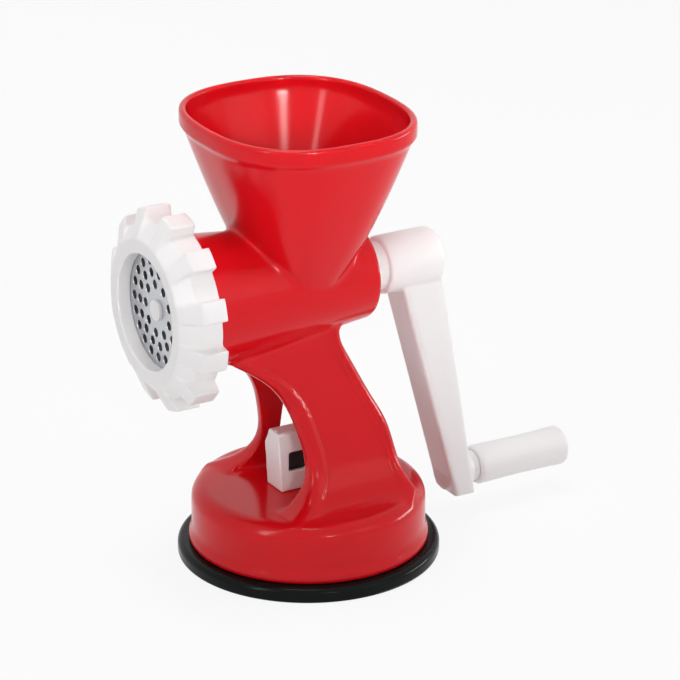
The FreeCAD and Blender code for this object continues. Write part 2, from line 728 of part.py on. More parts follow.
def make_screw():
    """Pan head screw that clamps the crank to the auger's shaft."""
    seat = HUB_REAR_X - SCREW_RECESS + SCREW_WASHER
    tip = SOCKET_END_X - SCREW_GRIP
    crown = seat + SCREW_HEAD
    screw = turned_x([
        (tip, 0, 0),
        (tip, SCREW_RADIUS, METAL_EDGE),
        (seat, SCREW_RADIUS, 0),
        (seat, SCREW_HEAD_RADIUS, METAL_EDGE),
        (crown, SCREW_HEAD_RADIUS, SCREW_HEAD_ROUND),
        (crown, 0, 0),
    ])
    half = SCREW_SLOT_WIDTH / 2
    arm = SCREW_SLOT_LENGTH / 2
    slot = (crown - SCREW_SLOT_DEPTH, crown + OVERCUT)
    for y, z in ((arm, half), (half, arm)):
        screw = screw.cut(block(slot, (-y, y), (AXIS_Z - z, AXIS_Z + z)))
    return screw


def make_grip():
    """Grip with a slight waist that turns on its axle."""
    bore = AXLE_RADIUS + RUNNING_FIT
    cap_seat = GRIP_END_X - CAP_DEPTH - CAP_RECESS
    middle = (GRIP_START_X + GRIP_END_X) / 2
    start = vec(GRIP_START_X + GRIP_EDGE, 0, GRIP_Z + GRIP_RADIUS)
    end = vec(GRIP_END_X - GRIP_EDGE, 0, GRIP_Z + GRIP_RADIUS)
    waist = Part.Arc(start, vec(middle, 0, GRIP_Z + GRIP_RADIUS - GRIP_WAIST), end).toShape()
    ease = GRIP_EDGE * (1 - math.sqrt(0.5))
    front = Part.Arc(
        vec(GRIP_START_X, 0, GRIP_Z + GRIP_RADIUS - GRIP_EDGE),
        vec(GRIP_START_X + ease, 0, GRIP_Z + GRIP_RADIUS - ease),
        start,
    ).toShape()
    rear = Part.Arc(
        end,
        vec(GRIP_END_X - ease, 0, GRIP_Z + GRIP_RADIUS - ease),
        vec(GRIP_END_X, 0, GRIP_Z + GRIP_RADIUS - GRIP_EDGE),
    ).toShape()
    inside = Part.makePolygon([
        vec(GRIP_END_X, 0, GRIP_Z + GRIP_RADIUS - GRIP_EDGE),
        vec(GRIP_END_X, 0, GRIP_Z + CAP_RADIUS + LOOSE_FIT),
        vec(cap_seat, 0, GRIP_Z + CAP_RADIUS + LOOSE_FIT),
        vec(cap_seat, 0, GRIP_Z + bore),
        vec(GRIP_START_X, 0, GRIP_Z + bore),
        vec(GRIP_START_X, 0, GRIP_Z + GRIP_RADIUS - GRIP_EDGE),
    ])
    wire = Part.Wire([front, waist, rear] + inside.Edges)
    return Part.Face(wire).revolve(vec(0, 0, GRIP_Z), vec(1, 0, 0), 360)


def make_axle():
    """Axle pressed into the boss; the grip turns on it."""
    return rod_x(AXLE_RADIUS, AXLE_START_X, AXLE_END_X, 0.0, GRIP_Z)


def make_collar():
    """Spacer ring between the boss and the grip."""
    end = GRIP_START_X - LOOSE_FIT
    ring = rod_x(COLLAR_RADIUS, BOSS_END_X, end, 0.0, GRIP_Z)
    return ring.cut(rod_x(AXLE_RADIUS, BOSS_END_X - OVERCUT, end + OVERCUT, 0.0, GRIP_Z))


def make_grip_cap():
    """Cap that snaps on the axle's end and holds the grip on."""
    start = GRIP_END_X - CAP_RECESS - CAP_DEPTH + LOOSE_FIT
    end = GRIP_END_X - CAP_RECESS
    cap = turned_x([
        (start, 0, 0),
        (start, CAP_RADIUS, 0),
        (end, CAP_RADIUS, METAL_EDGE),
        (end, 0, 0),
    ], GRIP_Z)
    return cap.cut(rod_x(AXLE_RADIUS, start - OVERCUT, AXLE_END_X, 0.0, GRIP_Z))


def make_cup():
    """Rubber suction foot: a flat disc with a rounded rim under the drum."""
    lip = DRUM_RADIUS - DRUM_WALL - LOOSE_FIT
    lip_top = FOOT_HEIGHT + CUP_LIP
    return turned_z([
        (0, 0, 0),
        (FOOT_RADIUS, 0, FOOT_UNDER_EDGE),
        (FOOT_RADIUS, FOOT_HEIGHT, FOOT_EDGE),
        (lip, FOOT_HEIGHT, 0),
        (lip, lip_top, MOULD_EDGE),
        (lip - CUP_LIP, lip_top, MOULD_EDGE),
        (lip - CUP_LIP, FOOT_HEIGHT, 0),
        (DISC_RADIUS + CUP_DISH_SLOPE, CUP_FLOOR, 0),
        (0, CUP_FLOOR, 0),
    ])


def make_disc():
    """Steel disc bonded to the cup that spreads the plunger's pull."""
    top = CUP_FLOOR + DISC_THICKNESS
    return turned_z([
        (0, CUP_FLOOR, 0),
        (DISC_RADIUS, CUP_FLOOR, 0),
        (DISC_RADIUS, top, METAL_EDGE),
        (0, top, 0),
    ])


def make_plunger():
    """Draw stem with a yoke that takes the lever's pin."""
    bottom = CUP_FLOOR + DISC_THICKNESS
    low = PIN_Z - YOKE_HEIGHT / 2
    high = PIN_Z + YOKE_HEIGHT / 2
    stop = DRUM_TOP - DRUM_WALL - LEVER_LIFT - STEM_COLLAR_SPARE
    stem = rod_z(STEM_RADIUS, bottom, low + OVERCUT)
    collar = rod_z(STEM_COLLAR_RADIUS, bottom, stop)
    corners = [
        (YOKE_X[0], low, MOULD_EDGE),
        (YOKE_X[1], low, MOULD_EDGE),
        (YOKE_X[1], high, MOULD_EDGE),
        (YOKE_X[0], high, MOULD_EDGE),
    ]
    yoke = slab_y(corners, -YOKE_HALF_WIDTH, YOKE_HALF_WIDTH)
    plunger = stem.fuse([collar, yoke])
    return plunger.cut(rod_y(PIN_RADIUS, -YOKE_HALF_WIDTH - OVERCUT, YOKE_HALF_WIDTH + OVERCUT, 0.0, PIN_Z))


def cam_radius(turn):
    """Height of the pin over the drum at a turn of the lever, less its clearance."""
    ease = CAM_EASE * math.sin(2 * math.radians(turn))
    return PIN_HEIGHT - LOOSE_FIT + LEVER_LIFT * turn / QUARTER_TURN - ease


def make_lever():
    """Channel of two cheeks and a front wall; the cheeks' lower rear edges are the cam."""
    foot = DRUM_TOP + LOOSE_FIT
    cam = []
    for step in range(1, CAM_STEPS + 1):
        turn = QUARTER_TURN * step / CAM_STEPS
        reach = cam_radius(turn)
        angle = math.radians(turn)
        cam.append(vec(reach * math.sin(angle), 0, PIN_Z - reach * math.cos(angle)))
    top_front = LEVER_FRONT_X - LEVER_TOP_LEAN
    base = vec(0, 0, foot)
    curve = Part.BSplineCurve()
    curve.interpolate([base] + cam)
    edges = [
        curve.toShape(),
        Part.makeLine(cam[-1], vec(LEVER_TOP_REAR_X, 0, LEVER_TOP_Z)),
        Part.makeLine(vec(LEVER_TOP_REAR_X, 0, LEVER_TOP_Z), vec(top_front, 0, LEVER_TOP_Z)),
        Part.makeLine(vec(top_front, 0, LEVER_TOP_Z), vec(LEVER_FRONT_X, 0, foot)),
        Part.makeLine(vec(LEVER_FRONT_X, 0, foot), base),
    ]
    face = Part.Face(Part.Wire(edges))
    face.translate(vec(0, -LEVER_HALF_WIDTH, 0))
    lever = face.extrude(vec(0, 2 * LEVER_HALF_WIDTH, 0))
    inner = LEVER_HALF_WIDTH - LEVER_CHEEK
    slot = [
        (LEVER_FRONT_X + LEVER_FRONT_WALL, foot - OVERCUT, 0),
        (DRUM_RADIUS, foot - OVERCUT, 0),
        (DRUM_RADIUS, LEVER_TOP_Z - LEVER_TOP_WALL, 0),
        (top_front + LEVER_FRONT_WALL, LEVER_TOP_Z - LEVER_TOP_WALL, MOULD_EDGE),
    ]
    lever = lever.cut(slab_y(slot, -inner, inner))
    low = PIN_Z - YOKE_HEIGHT / 2
    high = PIN_Z + YOKE_HEIGHT / 2
    rear = -PIN_RADIUS - LEVER_WEB
    window = [
        (YOKE_X[0], low, MOULD_EDGE),
        (rear, low, MOULD_EDGE),
        (rear, high, MOULD_EDGE),
        (YOKE_X[0], high, MOULD_EDGE),
    ]
    past = LEVER_HALF_WIDTH + OVERCUT
    lever = lever.cut(slab_y(window, -past, past))
    corner = [
        (LEVER_HALF_WIDTH - LEVER_CORNER[0], LEVER_TOP_Z, 0),
        (LEVER_HALF_WIDTH, LEVER_TOP_Z - LEVER_CORNER[1], 0),
        (past, LEVER_TOP_Z - LEVER_CORNER[1], 0),
        (past, LEVER_TOP_Z + OVERCUT, 0),
        (LEVER_HALF_WIDTH - LEVER_CORNER[0], LEVER_TOP_Z + OVERCUT, 0),
    ]
    trim = Part.Face(rounded_wire(corner, lambda u, v: vec(top_front - OVERCUT, u, v)))
    lever = lever.cut(trim.extrude(vec(LEVER_TOP_REAR_X - top_front + 2 * OVERCUT, 0, 0)))
    return lever.cut(rod_y(PIN_RADIUS + RUNNING_FIT, -past, past, 0.0, PIN_Z))


def make_lever_pin():
    return rod_y(PIN_RADIUS, -LEVER_HALF_WIDTH, LEVER_HALF_WIDTH, 0.0, PIN_Z)


def main():
    os.makedirs(STEP_FOLDER, exist_ok=True)
    save("hopper", make_hopper_shell())
    save("barrel", make_barrel_shell())
    save("stand", make_stand_shell())
    save("drum", make_drum_shell())
    save("suction_cup", make_cup())
    save("plunger_disc", make_disc())
    save("plunger", make_plunger())
    save("suction_lever", make_lever())
    save("lever_pin", make_lever_pin())
    save("plate_key", key_pin())
    save("cutting_plate", make_plate())
    save("knife", make_knife())
    save("ring_nut", make_nut())
    save("auger", make_auger())
    save("rear_bush", make_bush())
    save("shaft_seal", make_seal())
    save("thrust_washer", make_thrust_washer())
    save("crank_arm", make_crank_arm())
    save("crank_screw_washer", make_screw_washer())
    save("crank_screw", make_screw())
    save("grip_axle", make_axle())
    save("grip_collar", make_collar())
    save("grip", make_grip())
    save("grip_cap", make_grip_cap())


main()
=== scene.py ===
"""Looks of a hand crank meat grinder: red moulding, white fittings, steel plate and rubber foot."""

import json
import math

import bmesh
import bpy
import numpy as np
from mathutils import Matrix, Vector


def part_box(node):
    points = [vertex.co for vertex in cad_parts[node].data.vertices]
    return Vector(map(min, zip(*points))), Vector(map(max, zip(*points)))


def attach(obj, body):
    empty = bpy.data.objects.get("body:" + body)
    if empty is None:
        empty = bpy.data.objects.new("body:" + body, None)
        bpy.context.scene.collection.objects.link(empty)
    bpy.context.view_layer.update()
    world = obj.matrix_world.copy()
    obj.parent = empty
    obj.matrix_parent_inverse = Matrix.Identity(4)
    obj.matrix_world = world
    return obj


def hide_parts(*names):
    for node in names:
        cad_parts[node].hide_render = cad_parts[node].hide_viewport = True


bl_info = {
    "name": "Hand crank meat grinder",
    "version": (1, 0, 0),
    "blender": (4, 5, 0),
    "location": "3D View > Sidebar > Grinder",
    "description": "Builds the visible pieces of a hand crank meat grinder round its solids",
    "category": "Object",
}

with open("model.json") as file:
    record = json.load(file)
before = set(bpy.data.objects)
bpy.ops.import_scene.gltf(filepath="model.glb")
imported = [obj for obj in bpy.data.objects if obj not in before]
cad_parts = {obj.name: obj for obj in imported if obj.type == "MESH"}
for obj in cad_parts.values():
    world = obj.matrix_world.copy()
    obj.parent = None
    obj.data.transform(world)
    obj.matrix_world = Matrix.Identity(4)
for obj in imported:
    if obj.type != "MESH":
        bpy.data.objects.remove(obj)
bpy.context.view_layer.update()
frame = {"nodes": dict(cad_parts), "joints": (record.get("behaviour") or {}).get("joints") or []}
NODES = frame["nodes"]
AXIS_Z = next(j["pos_m"][2] for j in frame["joints"] if j["name"] == "crank_turn")
GRIP_Z = next(j["pos_m"][2] for j in frame["joints"] if j["name"] == "grip_spin")
TURN = 2 * math.pi

# Nodes that are one moulding in the real object, and how far each copy swells in metres so that they join
MOULDING_NODES = ["hopper", "barrel", "stand", "drum"]
SEAM_OVERLAP = 0.00008

# Heights in metres between which inside corners stay crisp
FILLET_FREE = (0.0455, 0.1165)

# Moulded skins: the rise in metres that marks a full inside corner, and how the mark grows and softens
HOLLOW_RISE = 0.00004
HOLLOW_GROWTH = 1.15
HOLLOW_GROWTH_ROUNDS = 5
HOLLOW_SOFT_ROUNDS = 3
SMOOTHING = 0.5
WELD = 1e-6

# Smoothing rounds of the white fittings, for edges and for inside corners
NUT_ROUNDS = (3, 6)
ARM_ROUNDS = (4, 14)
GRIP_ROUNDS = (4, 4)
LEVER_ROUNDS = (2, 2)

# Facets of the turned nut and of one lug, and how far outside the bore a lug starts in metres
NUT_FACETS = 192
LUG_FACETS = 12
LUG_FOOT = 0.0004

# Camera of the product view: angles in degrees, distances in metres, lens and sensor in millimetres
VIEW_AZIMUTH = -29.964
VIEW_ELEVATION = 21.836
VIEW_DISTANCE = 1.772245
VIEW_TARGET = Vector((0.019456, 0.0, 0.115188))
VIEW_LENS = 178.35
VIEW_SENSOR = 36.0
VIEW_RANGE = (0.05, 50.0)

# White surroundings: the floor, and the share of full white with which the room lights the part
WHITE = (1.0, 1.0, 1.0, 1.0)
FLOOR_HALF = 6.0
FLOOR_MATT = (0.9, 0.9, 0.9, 1.0)
FLOOR_GLOW = 0.88
ROOM_LIGHT = 0.40

# Lamps: name, place and size in metres, power in watts, aim and spread
OPEN_SPREAD = math.pi
HOPPER_SPREAD = math.radians(18.0)
HOPPER_AIM = Vector((0.05, 0.0, 0.255))
LAMPS = (
    ("front_softbox", (0.9, -1.6, 0.9), (0.8, 0.9), 1.5, VIEW_TARGET, OPEN_SPREAD),
    ("left_strip", (-1.6, -0.5, 0.9), (0.25, 1.0), 6.5, VIEW_TARGET, OPEN_SPREAD),
    ("right_softbox", (1.6, -0.40, 0.27), (0.8, 0.17), 6.5, VIEW_TARGET, OPEN_SPREAD),
    ("top_softbox", (-0.1, 0.1, 1.7), (0.6, 0.6), 9.0, VIEW_TARGET, OPEN_SPREAD),
    ("hopper_softbox", (-0.15, -1.2, 0.62), (0.3, 0.3), 0.17, HOPPER_AIM, HOPPER_SPREAD),
)


class GrinderSizes(bpy.types.PropertyGroup):
    """Mesh fineness and small sizes of the pieces."""

    body_step: bpy.props.FloatProperty(
        name="Body step", description="Grid step of the red moulding's mesh",
        default=0.00085, min=0.0004, subtype="DISTANCE", unit="LENGTH")
    fitting_step: bpy.props.FloatProperty(
        name="Fitting step", description="Grid step of the white fittings' meshes",
        default=0.0006, min=0.0003, subtype="DISTANCE", unit="LENGTH")
    edge_rounds: bpy.props.IntProperty(
        name="Edge rounds", description="Smoothing rounds that ease every edge", default=6, min=0)
    fillet_rounds: bpy.props.IntProperty(
        name="Fillet rounds", description="Smoothing rounds that fill inside corners", default=40, min=0)
    triangle_limit: bpy.props.IntProperty(
        name="Triangles", description="Most triangles in one piece", default=190000, min=1000)
    nut_opening: bpy.props.FloatProperty(
        name="Nut opening", description="Radius of the opening in the ring nut's front",
        default=0.0305, min=0.01, subtype="DISTANCE", unit="LENGTH")
    nut_face: bpy.props.FloatProperty(
        name="Nut face", description="Outer radius of the ring nut's flat front",
        default=0.038, min=0.01, subtype="DISTANCE", unit="LENGTH")
    nut_bore: bpy.props.FloatProperty(
        name="Nut bore", description="Radius of the ring nut's bore",
        default=0.0378, min=0.01, subtype="DISTANCE", unit="LENGTH")
    nut_root: bpy.props.FloatProperty(
        name="Nut root", description="Radius between the lugs",
        default=0.0463, min=0.01, subtype="DISTANCE", unit="LENGTH")
    nut_lug: bpy.props.FloatProperty(
        name="Nut lugs", description="Radius over the lugs",
        default=0.0528, min=0.01, subtype="DISTANCE", unit="LENGTH")
    nut_lip: bpy.props.FloatProperty(
        name="Nut lip", description="Length of the lip in front of the plate",
        default=0.0076, min=0.001, subtype="DISTANCE", unit="LENGTH")
    nut_cone: bpy.props.FloatProperty(
        name="Nut cone", description="Length of the coned front of the lugs",
        default=0.0075, min=0.001, subtype="DISTANCE", unit="LENGTH")
    lug_count: bpy.props.IntProperty(
        name="Lugs", description="Lugs round the ring nut", default=12, min=3)
    lug_start: bpy.props.FloatProperty(
        name="Lug start", description="Turn of the first lug from the top",
        default=math.radians(7.6), subtype="ANGLE", unit="ROTATION")
    lug_share: bpy.props.FloatProperty(
        name="Lug share", description="Share of each pitch that a lug fills",
        default=0.43, min=0.1, max=0.9, subtype="FACTOR")


class GrinderColours(bpy.types.PropertyGroup):
    """Colours of the finishes."""

    red: bpy.props.FloatVectorProperty(
        name="Red", description="Glossy red moulding",
        default=(0.72, 0.005, 0.011), size=3, min=0, max=1, subtype="COLOR")
    red_deep: bpy.props.FloatVectorProperty(
        name="Deep red", description="Darker flow of the red moulding",
        default=(0.62, 0.004, 0.009), size=3, min=0, max=1, subtype="COLOR")
    # Lighter red painted on convex edges: partly edge wear, partly a painted highlight along the edges
    red_edge_wear_and_highlight: bpy.props.FloatVectorProperty(
        name="Edge wear and highlight red", description="Lighter edges of the red moulding",
        default=(0.86, 0.10, 0.11), size=3, min=0, max=1, subtype="COLOR")
    white: bpy.props.FloatVectorProperty(
        name="White", description="White fittings",
        default=(0.90, 0.885, 0.89), size=3, min=0, max=1, subtype="COLOR")
    white_warm: bpy.props.FloatVectorProperty(
        name="Warm white", description="Warmer flow of the white fittings",
        default=(0.87, 0.85, 0.85), size=3, min=0, max=1, subtype="COLOR")
    steel: bpy.props.FloatVectorProperty(
        name="Steel", description="Ground steel",
        default=(0.66, 0.67, 0.69), size=3, min=0, max=1, subtype="COLOR")
    steel_dark: bpy.props.FloatVectorProperty(
        name="Dark steel", description="Marks in the ground steel",
        default=(0.46, 0.47, 0.49), size=3, min=0, max=1, subtype="COLOR")
    rubber: bpy.props.FloatVectorProperty(
        name="Rubber", description="Black rubber",
        default=(0.0025, 0.0035, 0.0034), size=3, min=0, max=1, subtype="COLOR")
    rubber_bloom: bpy.props.FloatVectorProperty(
        name="Rubber bloom", description="Greyer bloom on the rubber",
        default=(0.006, 0.008, 0.0078), size=3, min=0, max=1, subtype="COLOR")
    rubber_dust: bpy.props.FloatVectorProperty(
        name="Rubber dust", description="Fine dust on the rubber",
        default=(0.05, 0.055, 0.055), size=3, min=0, max=1, subtype="COLOR")
    black: bpy.props.FloatVectorProperty(
        name="Black", description="Black plastic",
        default=(0.014, 0.014, 0.015), size=3, min=0, max=1, subtype="COLOR")
    black_grey: bpy.props.FloatVectorProperty(
        name="Greyed black", description="Greyer flow of the black plastic",
        default=(0.03, 0.03, 0.032), size=3, min=0, max=1, subtype="COLOR")


class Value:
    """A shader socket; sums with it add Math nodes."""

    def __init__(self, finish, socket):
        self.finish = finish
        self.socket = socket

    def sum(self, operation, first, second):
        return self.finish.node("ShaderNodeMath", {"operation": operation}, {0: first, 1: second})

    def __add__(self, other):
        return self.sum("ADD", self, other)

    def __radd__(self, other):
        return self.sum("ADD", other, self)

    def __mul__(self, other):
        return self.sum("MULTIPLY", self, other)

    def __truediv__(self, other):
        return self.sum("DIVIDE", self, other)


class Graph:
    """A node tree under construction."""

    def __init__(self, tree):
        self.tree = tree
        tree.nodes.clear()

    def node(self, kind, settings=None, inputs=None, output=0):
        """Adds a node; settings are set first, then values or links of its sockets."""
        made = self.tree.nodes.new(kind)
        for name, value in (settings or {}).items():
            setattr(made, name, value)
        for key, value in (inputs or {}).items():
            if isinstance(value, Value):
                self.tree.links.new(value.socket, made.inputs[key])
            else:
                made.inputs[key].default_value = value
        return Value(self, made.outputs[output]) if made.outputs else None


class Finish(Graph):
    """A material under construction."""

    def __init__(self, name):
        self.material = bpy.data.materials.new(name)
        self.material.use_nodes = True
        super().__init__(self.material.node_tree)

    def place(self):
        return self.node("ShaderNodeTexCoord", output="Object")

    def noise(self, place, scale, detail=2.0):
        return self.node("ShaderNodeTexNoise", {}, {"Vector": place, "Scale": scale, "Detail": detail})

    def stretched(self, place, scale):
        return self.node("ShaderNodeMapping", {}, {"Vector": place, "Scale": scale})

    def vector(self, operation, first, second):
        return self.node("ShaderNodeVectorMath", {"operation": operation}, {0: first, 1: second})

    def step(self, value, low, high):
        """0 below low, 1 above high."""
        return self.node(
            "ShaderNodeMapRange", {"interpolation_type": "SMOOTHSTEP"},
            {"Value": value, "From Min": low, "From Max": high})

    def mix(self, share, first, second):
        made = self.tree.nodes.new("ShaderNodeMix")
        made.data_type = "RGBA"
        colours = [socket for socket in made.inputs if socket.type == "RGBA"]
        self.tree.links.new(share.socket, made.inputs[0])
        for socket, colour in zip(colours, (first, second)):
            if isinstance(colour, Value):
                self.tree.links.new(colour.socket, socket)
            else:
                socket.default_value = (*colour, 1.0)
        return Value(self, next(socket for socket in made.outputs if socket.type == "RGBA"))

    def bump(self, height, strength, distance):
        return self.node(
            "ShaderNodeBump", {}, {"Height": height, "Strength": strength, "Distance": distance})

    def surface(self, inputs):
        shader = self.node("ShaderNodeBsdfPrincipled", {}, inputs)
        self.node("ShaderNodeOutputMaterial", {}, {"Surface": shader})
        return self.material


def red_moulding(colours):
    """Glossy moulded red: slow flow of tone, light handling marks, lighter edges that are partly wear and
    partly painted highlight.
    """
    finish = Finish("glossy_red_moulding")
    place = finish.place()
    flow = finish.noise(place, scale=9.0, detail=3.0)
    marks = finish.noise(finish.stretched(place, (160.0, 160.0, 22.0)), scale=5.0, detail=4.0)
    skin = finish.noise(place, scale=1400.0)
    rub = finish.step(marks, low=0.62, high=0.82)
    # Convex edges found by pointiness are lightened: partly edge wear, partly a painted highlight
    edge = finish.step(finish.node("ShaderNodeNewGeometry", output="Pointiness"), low=0.53, high=0.60)
    tone = finish.mix(flow, colours.red_deep, colours.red)
    worn = finish.mix(edge * 0.22, tone, colours.red_edge_wear_and_highlight)
    return finish.surface({
        "Base Color": worn,
        "Roughness": 0.12 + flow * 0.05 + rub * 0.10 + skin * 0.03,
        "Normal": finish.bump(skin, strength=0.035, distance=0.0004),
        "Specular IOR Level": 0.22,
    })


def white_moulding(colours):
    """White moulded plastic: faint warm flow, fine skin and a few rubbed streaks."""
    finish = Finish("white_moulding")
    place = finish.place()
    flow = finish.noise(place, scale=14.0, detail=3.0)
    streaks = finish.noise(finish.stretched(place, (30.0, 180.0, 180.0)), scale=4.0, detail=4.0)
    skin = finish.noise(place, scale=1100.0)
    rub = finish.step(streaks, low=0.60, high=0.85)
    return finish.surface({
        "Base Color": finish.mix(flow, colours.white, colours.white_warm),
        "Roughness": 0.27 + flow * 0.08 + rub * 0.10,
        "Normal": finish.bump(skin, strength=0.04, distance=0.0004),
        "IOR": 1.48,
        "Subsurface Weight": 0.06,
        "Subsurface Radius": (0.004, 0.003, 0.003),
        "Subsurface Scale": 1.0,
    })


def ground_steel(colours, name, axis_z):
    """Steel turned about the line along X at axis_z: fine rings, scratches and duller patches."""
    finish = Finish(name)
    place = finish.place()
    across = finish.vector("MULTIPLY", place, (0.0, 1.0, 1.0))
    offset = finish.vector("SUBTRACT", across, (0.0, 0.0, axis_z))
    reach = finish.node("ShaderNodeVectorMath", {"operation": "LENGTH"}, {0: offset}, output="Value")
    rings = finish.node(
        "ShaderNodeTexNoise", {"noise_dimensions": "1D"},
        {"W": reach, "Scale": 2600.0, "Detail": 3.0})
    patches = finish.noise(place, scale=60.0, detail=4.0)
    lines = finish.noise(finish.stretched(place, (400.0, 400.0, 40.0)), scale=4.0)
    scratch = finish.step(lines, low=0.66, high=0.72)
    share = rings * 0.45 + patches * 0.35 + scratch * 0.3
    return finish.surface({
        "Base Color": finish.mix(share, colours.steel, colours.steel_dark),
        "Metallic": 1.0,
        "Roughness": 0.22 + rings * 0.12 + patches * 0.14,
        "Normal": finish.bump(rings + scratch * 0.5, strength=0.10, distance=0.0002),
    })


def black_rubber(colours):
    """Smooth black rubber with a slight greyer bloom and fine dust."""
    finish = Finish("black_rubber")
    place = finish.place()
    bloom = finish.noise(place, scale=26.0, detail=4.0)
    dust = finish.step(finish.noise(place, scale=900.0), low=0.66, high=0.78)
    skin = finish.noise(place, scale=700.0, detail=3.0)
    tone = finish.mix(bloom, colours.rubber, colours.rubber_bloom)
    return finish.surface({
        "Base Color": finish.mix(dust * 0.10, tone, colours.rubber_dust),
        "Roughness": 0.16 + bloom * 0.08 + dust * 0.1,
        "Normal": finish.bump(skin, strength=0.04, distance=0.0004),
        "Specular IOR Level": 0.1,
    })


def black_moulding(colours):
    """Matt black moulding with a fine spark texture."""
    finish = Finish("matt_black_moulding")
    place = finish.place()
    spark = finish.noise(place, scale=800.0, detail=3.0)
    flow = finish.noise(place, scale=40.0, detail=3.0)
    return finish.surface({
        "Base Color": finish.mix(flow * 0.5, colours.black, colours.black_grey),
        "Roughness": 0.48 + spark * 0.18,
        "Normal": finish.bump(spark, strength=0.12, distance=0.0005),
    })


FINISHES = {}


def finishes(colours):
    """The materials, made once."""
    if not FINISHES:
        FINISHES["red"] = red_moulding(colours)
        FINISHES["white"] = white_moulding(colours)
        FINISHES["plate"] = ground_steel(colours, "ground_steel_plate", AXIS_Z)
        FINISHES["grip_steel"] = ground_steel(colours, "ground_steel_axle", GRIP_Z)
        FINISHES["rubber"] = black_rubber(colours)
        FINISHES["black"] = black_moulding(colours)
    return FINISHES


def dress(mesh, material):
    mesh.materials.clear()
    mesh.materials.append(material)
    mesh.polygons.foreach_set("material_index", np.zeros(len(mesh.polygons), np.int32))


def piece(name, mesh, body, replaced=()):
    """A finished mesh as an object that rides on a body."""
    made = bpy.data.objects.new(name, mesh)
    bpy.context.scene.collection.objects.link(made)
    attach(made, body)
    if replaced:
        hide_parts(*replaced)
    return made


def joined(nodes, swell=0.0):
    """One mesh of CAD nodes, their loose triangles joined, each swollen a little so that they overlap."""
    whole = bmesh.new()
    for node in nodes:
        work = bmesh.new()
        work.from_mesh(NODES[node].data)
        bmesh.ops.remove_doubles(work, verts=work.verts, dist=WELD)
        work.normal_update()
        for vert in work.verts:
            vert.co += vert.normal * swell
        mesh = bpy.data.meshes.new(node + "_copy")
        work.to_mesh(mesh)
        work.free()
        whole.from_mesh(mesh)
        bpy.data.meshes.remove(mesh)
    made = bpy.data.meshes.new("joined")
    whole.to_mesh(made)
    whole.free()
    return made


def evaluated(mesh, kind, settings, inputs=None):
    """The mesh after one modifier, whose node tree, if any, takes the named inputs."""
    holder = bpy.data.objects.new("holder", mesh)
    bpy.context.scene.collection.objects.link(holder)
    modifier = holder.modifiers.new(kind.lower(), kind)
    for name, value in settings.items():
        setattr(modifier, name, value)
    if inputs:
        for socket in modifier.node_group.interface.items_tree:
            if socket.in_out == "INPUT" and socket.name in inputs:
                modifier[socket.identifier] = inputs[socket.name]
    bpy.context.view_layer.update()
    graph = bpy.context.evaluated_depsgraph_get()
    made = bpy.data.meshes.new_from_object(holder.evaluated_get(graph))
    bpy.data.objects.remove(holder)
    return made


def neighbour_mean(values, edges, counts):
    """Mean of each point's neighbours, for one number or three per point."""
    columns = values.reshape(len(counts), -1)
    total = np.empty_like(columns)
    for column in range(columns.shape[1]):
        numbers = columns[:, column]
        total[:, column] = np.bincount(edges[:, 0], numbers[edges[:, 1]], len(counts))
        total[:, column] += np.bincount(edges[:, 1], numbers[edges[:, 0]], len(counts))
    return (total / counts[:, None]).reshape(values.shape)


def eased(mesh, edge_rounds, fillet_rounds):
    """Rounds every edge a little, and inside corners more."""
    points = np.empty(len(mesh.vertices) * 3)
    mesh.vertices.foreach_get("co", points)
    points = points.reshape(-1, 3)
    edges = np.empty(len(mesh.edges) * 2, np.int64)
    mesh.edges.foreach_get("vertices", edges)
    edges = edges.reshape(-1, 2)
    counts = np.bincount(edges.ravel(), minlength=len(points)).astype(float)
    for _ in range(edge_rounds):
        points += SMOOTHING * (neighbour_mean(points, edges, counts) - points)
    mesh.vertices.foreach_set("co", points.ravel())
    mesh.update()
    normals = np.empty(len(points) * 3)
    mesh.vertices.foreach_get("normal", normals)
    lift = ((neighbour_mean(points, edges, counts) - points) * normals.reshape(-1, 3)).sum(1)
    hollow = np.clip(lift / HOLLOW_RISE, 0.0, 1.0)
    for _ in range(HOLLOW_GROWTH_ROUNDS):
        hollow = np.maximum(hollow, HOLLOW_GROWTH * neighbour_mean(hollow, edges, counts))
    hollow = np.clip(hollow, 0.0, 1.0)
    hollow[(points[:, 2] > FILLET_FREE[0]) & (points[:, 2] < FILLET_FREE[1])] = 0.0
    for _ in range(HOLLOW_SOFT_ROUNDS):
        hollow = neighbour_mean(hollow, edges, counts)
    for _ in range(fillet_rounds):
        points += SMOOTHING * hollow[:, None] * (neighbour_mean(points, edges, counts) - points)
    mesh.vertices.foreach_set("co", points.ravel())
    mesh.update()


def moulded(mesh, step, rounds, limit):
    """One moulded skin over a closed mesh, eased by smoothing rounds and within a limit of triangles."""
    skin = evaluated(mesh, "REMESH", {"mode": "VOXEL", "voxel_size": step, "adaptivity": 0.0})
    eased(skin, *rounds)
    triangles = 2 * len(skin.polygons)
    if triangles > limit:
        skin = evaluated(skin, "DECIMATE", {"ratio": limit / triangles})
    skin.polygons.foreach_set("use_smooth", np.ones(len(skin.polygons), bool))
    return skin


class GRINDER_OT_body(bpy.types.Operator):
    """Hopper, barrel, stand and drum as one red moulding"""

    bl_idname = "grinder.body"
    bl_label = "Red moulding"

    def execute(self, context):
        sizes = context.scene.grinder_sizes
        rounds = (sizes.edge_rounds, sizes.fillet_rounds)
        solids = joined(MOULDING_NODES, SEAM_OVERLAP)
        skin = moulded(solids, sizes.body_step, rounds, sizes.triangle_limit)
        skin.name = "red_moulding"
        dress(skin, finishes(context.scene.grinder_colours)["red"])
        piece("red_moulding", skin, "base", MOULDING_NODES)
        return {"FINISHED"}


